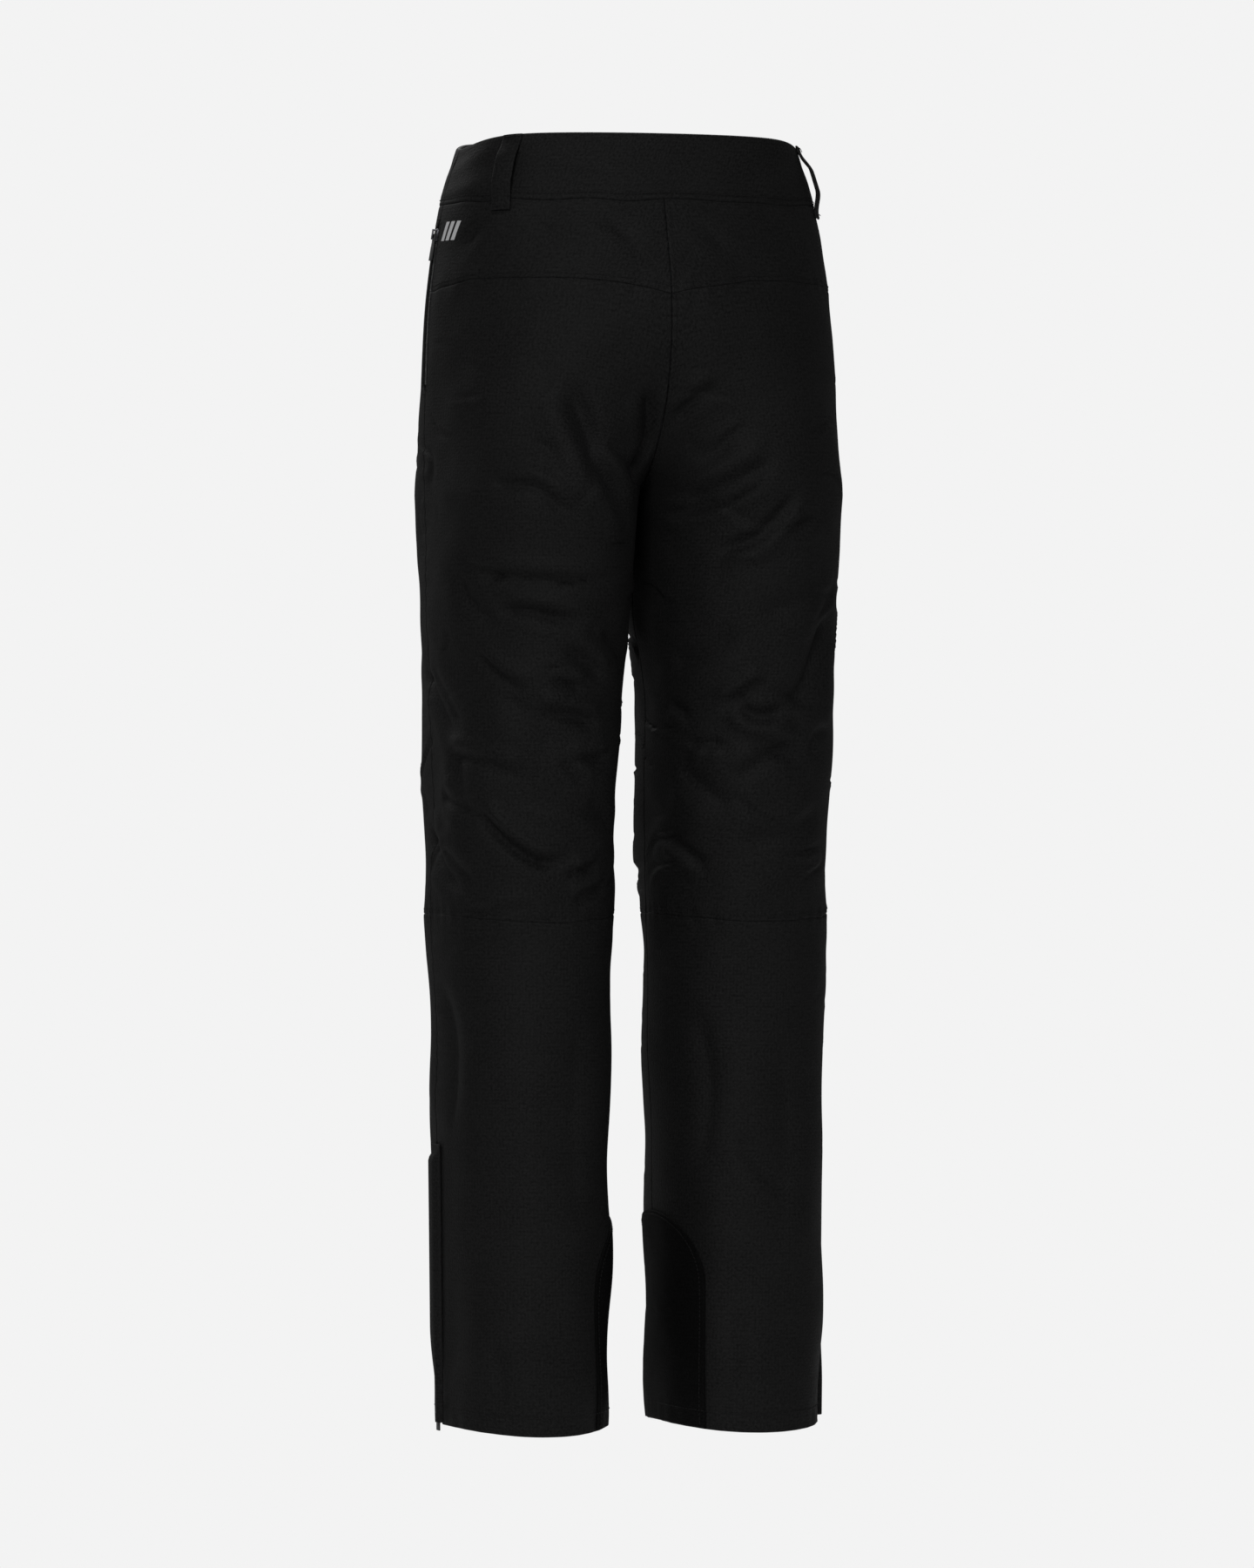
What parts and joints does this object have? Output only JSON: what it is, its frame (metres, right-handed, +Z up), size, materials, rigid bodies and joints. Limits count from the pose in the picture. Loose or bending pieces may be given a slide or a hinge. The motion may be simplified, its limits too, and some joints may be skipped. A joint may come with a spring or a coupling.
{
  "type": "ski pants",
  "caption": "Insulated ski pants hanging as worn, with belt loops, snap waist tab, zipped fly and side pockets, ankle zips, inner gaiters and scuff guards; legs bend at hip and knee",
  "frame": {"origin": "centre of the waist opening, level with the waist edge", "axes": "+Z up along the hanging legs, the wearer faces -Y and the wearer's left is +X"},
  "size_m": [0.3374, 0.2387, 1.03],
  "materials": {
    "shell_fabric": "matte woven polyester",
    "guard_fabric": "coated hard-wearing weave",
    "lining_fabric": "smooth taffeta",
    "zip_coil": "nylon coil on woven tape",
    "zip_metal": "black nickel",
    "snap_metal": "black oxide",
    "pull_rubber": "moulded matte"
  },
  "bodies": {
    "hips": {"waistband_back": "shell_fabric", "waistband_front_left": "shell_fabric", "waistband_front_right": "shell_fabric", "belt_loop_back_left": "shell_fabric", "belt_loop_front_left": "shell_fabric", "belt_loop_back_right": "shell_fabric", "belt_loop_front_right": "shell_fabric", "yoke_left": "shell_fabric", "seat_left": "shell_fabric", "hip_front_left": "shell_fabric", "groin_left": "shell_fabric", "lining_hips_left": "lining_fabric", "pocket_bag_left": "lining_fabric", "pocket_left_chain": "zip_coil", "yoke_right": "shell_fabric", "seat_right": "shell_fabric", "hip_front_right": "shell_fabric", "groin_right": "shell_fabric", "lining_hips_right": "lining_fabric", "pocket_bag_right": "lining_fabric", "pocket_right_chain": "zip_coil", "fly_chain": "zip_coil", "stud_1": "snap_metal", "stud_2": "snap_metal"},
    "thigh_left": {"thigh_front_left": "shell_fabric", "thigh_back_left": "shell_fabric", "knee_left": "shell_fabric", "lining_leg_left": "lining_fabric"},
    "thigh_right": {"thigh_front_right": "shell_fabric", "thigh_back_right": "shell_fabric", "knee_right": "shell_fabric", "lining_leg_right": "lining_fabric"},
    "shin_left": {"shin_front_left": "shell_fabric", "shin_back_left": "shell_fabric", "scuff_guard_left": "guard_fabric", "gaiter_left": "lining_fabric", "leg_zip_gusset_left": "lining_fabric", "leg_zip_left_chain": "zip_coil"},
    "leg_flap_left": {"leg_zip_flap_left": "shell_fabric"},
    "shin_right": {"shin_front_right": "shell_fabric", "shin_back_right": "shell_fabric", "scuff_guard_right": "guard_fabric", "gaiter_right": "lining_fabric", "leg_zip_gusset_right": "lining_fabric", "leg_zip_right_chain": "zip_coil"},
    "leg_flap_right": {"leg_zip_flap_right": "shell_fabric"},
    "pocket_slider_left": {"pocket_left_slider": "zip_metal"},
    "pocket_pull_left": {"pocket_left_pull": "pull_rubber"},
    "leg_zip_slider_left": {"leg_zip_left_slider": "zip_metal"},
    "leg_zip_pull_left": {"leg_zip_left_pull": "pull_rubber"},
    "pocket_slider_right": {"pocket_right_slider": "zip_metal"},
    "pocket_pull_right": {"pocket_right_pull": "pull_rubber"},
    "leg_zip_slider_right": {"leg_zip_right_slider": "zip_metal"},
    "leg_zip_pull_right": {"leg_zip_right_pull": "pull_rubber"},
    "fly_flap": {"fly_flap": "shell_fabric"},
    "fly_slider": {"fly_slider": "zip_metal"},
    "fly_pull": {"fly_pull": "pull_rubber"},
    "waist_tab": {"waist_tab": "shell_fabric", "stud_cap_1": "snap_metal", "stud_cap_2": "snap_metal"}
  },
  "joints": [
    {"name": "hip_left", "type": "hinge", "parent": "hips", "child": "thigh_left", "pos_m": [0.084, 0.0018, -0.336], "axis": [-1, 0, 0], "range_deg": [-20, 60], "deforming": ["groin_left", "lining_leg_left"]},
    {"name": "knee_left", "type": "hinge", "parent": "thigh_left", "child": "shin_left", "pos_m": [0.0885, 0.0011, -0.62], "axis": [1, 0, 0], "range_deg": [0, 75], "deforming": ["knee_left", "lining_leg_left"]},
    {"name": "hip_right", "type": "hinge", "parent": "hips", "child": "thigh_right", "pos_m": [-0.084, 0.0018, -0.336], "axis": [-1, 0, 0], "range_deg": [-20, 60], "deforming": ["groin_right", "lining_leg_right"]},
    {"name": "knee_right", "type": "hinge", "parent": "thigh_right", "child": "shin_right", "pos_m": [-0.0885, 0.0011, -0.62], "axis": [1, 0, 0], "range_deg": [0, 75], "deforming": ["knee_right", "lining_leg_right"]},
    {"name": "pocket_slider_left", "type": "slide", "parent": "hips", "child": "pocket_slider_left", "axis": [0.1, 0, -0.995], "range_m": [0, 0.105], "deforming": ["pocket_left_chain"]},
    {"name": "pocket_pull_left", "type": "hinge", "parent": "pocket_slider_left", "child": "pocket_pull_left", "pos_m": [0.15835, -0.00524, -0.07777], "axis": [-0.0277, -0.9996, 0], "range_deg": [0, 160]},
    {"name": "pocket_slider_right", "type": "slide", "parent": "hips", "child": "pocket_slider_right", "axis": [-0.1, 0, -0.995], "range_m": [0, 0.105], "deforming": ["pocket_right_chain"]},
    {"name": "pocket_pull_right", "type": "hinge", "parent": "pocket_slider_right", "child": "pocket_pull_right", "pos_m": [-0.15835, -0.00524, -0.07777], "axis": [-0.0277, 0.9996, 0], "range_deg": [0, 160]},
    {"name": "leg_zip_slider_left", "type": "slide", "parent": "shin_left", "child": "leg_zip_slider_left", "axis": [0.0108, 0, 0.9999], "range_m": [0, 0.19], "deforming": ["leg_zip_left_chain"]},
    {"name": "leg_zip_pull_left", "type": "hinge", "parent": "leg_zip_slider_left", "child": "leg_zip_pull_left", "pos_m": [0.1568, 0, -1.01101], "axis": [0, -1, 0], "range_deg": [0, 160], "deforming": ["leg_zip_flap_left"]},
    {"name": "leg_flap_left", "type": "hinge", "parent": "shin_left", "child": "leg_flap_left", "pos_m": [0.1574, 0.0126, -0.915], "axis": [0.0105, 0, 0.9999], "range_deg": [0, 100]},
    {"name": "leg_zip_slider_right", "type": "slide", "parent": "shin_right", "child": "leg_zip_slider_right", "axis": [-0.0108, 0, 0.9999], "range_m": [0, 0.19], "deforming": ["leg_zip_right_chain"]},
    {"name": "leg_zip_pull_right", "type": "hinge", "parent": "leg_zip_slider_right", "child": "leg_zip_pull_right", "pos_m": [-0.1568, 0, -1.01101], "axis": [0, 1, 0], "range_deg": [0, 160], "deforming": ["leg_zip_flap_right"]},
    {"name": "leg_flap_right", "type": "hinge", "parent": "shin_right", "child": "leg_flap_right", "pos_m": [-0.1574, 0.0126, -0.915], "axis": [0.0105, 0, -0.9999], "range_deg": [0, 100]},
    {"name": "fly_slider", "type": "slide", "parent": "hips", "child": "fly_slider", "axis": [0, -0.06, -0.9982], "range_m": [0, 0.064], "deforming": ["fly_chain"]},
    {"name": "fly_pull", "type": "hinge", "parent": "fly_slider", "child": "fly_pull", "pos_m": [-0.00502, -0.10087, -0.06987], "axis": [-0.9999, 0.0117, 0], "range_deg": [0, 7]},
    {"name": "fly_flap", "type": "hinge", "parent": "hips", "child": "fly_flap", "pos_m": [0.006, -0.1055, -0.125], "axis": [0, 0, 1], "range_deg": [0, 75]},
    {"name": "waist_tab", "type": "hinge", "parent": "hips", "child": "waist_tab", "pos_m": [0.008, -0.0964, -0.027], "axis": [0, 0.1113, 0.9938], "range_deg": [0, 70]}
  ]
}
